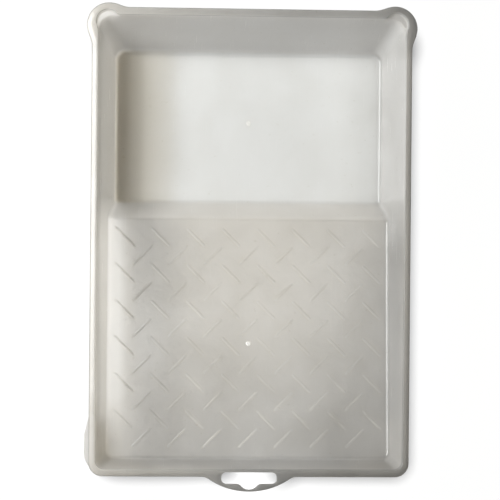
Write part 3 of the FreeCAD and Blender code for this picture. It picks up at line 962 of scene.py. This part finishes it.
def flat_sheet(name, size, height):
    mesh = bpy.data.meshes.new(name)
    corners = [(-size, -size, 0), (size, -size, 0), (size, size, 0), (-size, size, 0)]
    mesh.from_pydata(corners, [], [(0, 1, 2, 3)])
    made = bpy.data.objects.new(name, mesh)
    made.location.z = height
    bpy.context.scene.collection.objects.link(made)
    return made


def table_top():
    """A plain pale floor that the tray stands on."""
    made = flat_sheet("table_top", 3.0, -0.0002)
    material = bpy.data.materials.new("pale_table")
    material.use_nodes = True
    n = Nodes(material)
    place = n.add("ShaderNodeTexCoord").outputs["Object"]
    shade = n.mix(n.noise(place, 3.0), (0.9, 0.9, 0.895, 1), (0.93, 0.93, 0.925, 1))
    inputs = {"Base Color": shade, "Roughness": 0.9, "Specular IOR Level": 0.1}
    surface = n.add("ShaderNodeBsdfPrincipled", inputs)
    n.add("ShaderNodeOutputMaterial", {"Surface": surface.outputs[0]})
    made.data.materials.append(material)
    made.visible_diffuse = False
    made.visible_glossy = False
    made.visible_transmission = False
    return made


def bounce_and_shade_card():
    """What the tray's light bounces off below it: a card hidden from the camera, white at the left, dark
    to the front and the right as painted shade, and with a painted shadow stripe under the ramp.
    """
    made = flat_sheet("bounce_and_shade_card", 3.0, -0.0001)
    material = bpy.data.materials.new("bounce_and_shade_card")
    material.use_nodes = True
    n = Nodes(material)
    at = Places(n, n.add("ShaderNodeTexCoord").outputs["Object"])
    # Painted shade: the card dark to the right and the front, a little darker beyond the rear, and in a
    # stripe under the ramp's left half.
    right = at.across(55.0, 120.0, 1.0, 0.12)
    front = n.greatest(at.along(-150.0, -50.0, 0.2, 1.0), at.across(-110.0, -85.0, 1.0, 0.0))
    rear = at.along(120.0, 150.0, 1.0, 0.7)
    stripe = n.product(at.across(-74.0, -62.0), at.across(-50.0, -25.0, 1.0, 0.0))
    stripe = n.product(stripe, at.along(18.0, 26.0, 0.4, 0.0))
    white = n.product(right, front, rear, n.rest(stripe))
    shade = n.mix(white, (0.075, 0.078, 0.08, 1), (0.86, 0.905, 1.0, 1))
    # Painted light: the card whiter at the far left, lighting the ramp's left strip from below.
    shade = n.mix(at.across(-85.0, -70.0, 1.0, 0.0), shade, (0.97, 0.98, 1.0, 1))
    surface = n.add("ShaderNodeBsdfDiffuse", {"Color": shade})
    n.add("ShaderNodeOutputMaterial", {"Surface": surface.outputs[0]})
    made.data.materials.append(material)
    made.visible_camera = False
    made.visible_shadow = False
    return made


def softbox(name, place, target, width, height, watts, colour=(1.0, 1.0, 1.0)):
    light = bpy.data.lights.new(name, "AREA")
    light.shape = "RECTANGLE"
    light.size = width
    light.size_y = height
    light.energy = watts
    light.color = colour
    made = bpy.data.objects.new(name, light)
    made.location = place
    made.rotation_euler = (Vector(target) - Vector(place)).to_track_quat("-Z", "Y").to_euler()
    bpy.context.scene.collection.objects.link(made)
    made.visible_camera = False
    return made


def light_the_floor(table):
    """Light for the floor alone, nearly overhead, so that the tray's shadow on it stays narrow."""
    only = bpy.data.collections.new("lit by the floor lights")
    only.objects.link(table)
    light = bpy.data.lights.new("floor light", "SUN")
    light.energy = 3.45
    light.angle = math.radians(17.0)
    made = bpy.data.objects.new("floor light", light)
    made.rotation_euler = Vector((0.115, -0.12, -1.0)).to_track_quat("-Z", "Y").to_euler()
    bpy.context.scene.collection.objects.link(made)
    made.light_linking.receiver_collection = only
    low = softbox("slot light", (0.002, -0.139, 0.014), (0.002, -0.139, 0.0), 0.008, 0.034, 0.0034)
    low.data.use_shadow = False
    low.light_linking.receiver_collection = only


def light_the_scene(lit):
    """Large softboxes high on the left and overhead, for all but the floor."""
    softboxes = (
        softbox("key softbox", (-0.964, 0.3, 1.169), (0, 0.3, 0.02), 1.0, 0.55, 25.0, DAYLIGHT),
        softbox("high softbox", (-0.63, 0.22, 1.38), (0, 0.22, 0.02), 0.9, 0.4, 11.0, DAYLIGHT),
        softbox("top softbox", (0.0, 0.1, 1.8), (0, 0, 0.02), 0.8, 0.8, 1.5, DAYLIGHT),
    )
    but_floor = bpy.data.collections.new("lit by the softboxes")
    for made in lit:
        but_floor.objects.link(made)
    for made in softboxes:
        made.light_linking.receiver_collection = but_floor
    world = bpy.data.worlds.new("pale studio")
    world.use_nodes = True
    back = world.node_tree.nodes["Background"]
    back.inputs["Color"].default_value = (0.95, 0.96, 1.0, 1.0)
    back.inputs["Strength"].default_value = 0.07
    bpy.context.scene.world = world
    bpy.context.scene.view_settings.view_transform = "Standard"


def place_camera():
    """Nearly overhead, a metre above the rim, a little to the tray's left."""
    data = bpy.data.cameras.new("camera")
    data.sensor_width = 36.0
    data.lens = 125.1
    camera = bpy.data.objects.new("camera", data)
    camera.location = (-0.0444, -0.0001, TOP * MM + 1.0)
    camera.rotation_euler = (math.radians(-0.082), math.radians(-2.509), math.radians(0.512))
    bpy.context.scene.collection.objects.link(camera)
    bpy.context.scene.camera = camera


tray = moulding()
ribs = grip_ribs()
webs = rim_webs()
well_gate_y = sum(v[1] for v in box_mm("well_gate_mark")) / 2
ramp_gate_y = sum(v[1] for v in box_mm("ramp_gate_mark")) / 2
well_gate = gate_mark("gate_mark_well", well_gate_y)
ramp_gate = gate_mark("gate_mark_ramp", ramp_gate_y)

plastic = milky_plastic("milky_polypropylene")
rib_plastic = milky_plastic("milky_rib", 1.014, 0.86, warmth=0.35, front_painted_glint=0.4)
faint_scar = milky_plastic("faint_gate_scar", 1.08, 0.65)
whitened = milky_plastic("whitened_gate_scar", 1.06, 0.45)
for piece, material in (
    (tray, plastic),
    (ribs, rib_plastic),
    (webs, plastic),
    (well_gate, faint_scar),
    (ramp_gate, whitened),
):
    piece.data.materials.append(material)
    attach(piece, "root")

for piece, nodes in (
    (ribs, ["ramp_ribs"]),
    (webs, ["rim_gussets"]),
    (well_gate, ["well_gate_mark"]),
    (ramp_gate, ["ramp_gate_mark"]),
):
    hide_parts(*nodes)
replaced = {"ramp_ribs", "rim_gussets", "well_gate_mark", "ramp_gate_mark"}
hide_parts(*sorted(set(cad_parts) - replaced))

table = table_top()
card = bounce_and_shade_card()
light_the_floor(table)
light_the_scene((tray, ribs, webs, well_gate, ramp_gate, card))
place_camera()
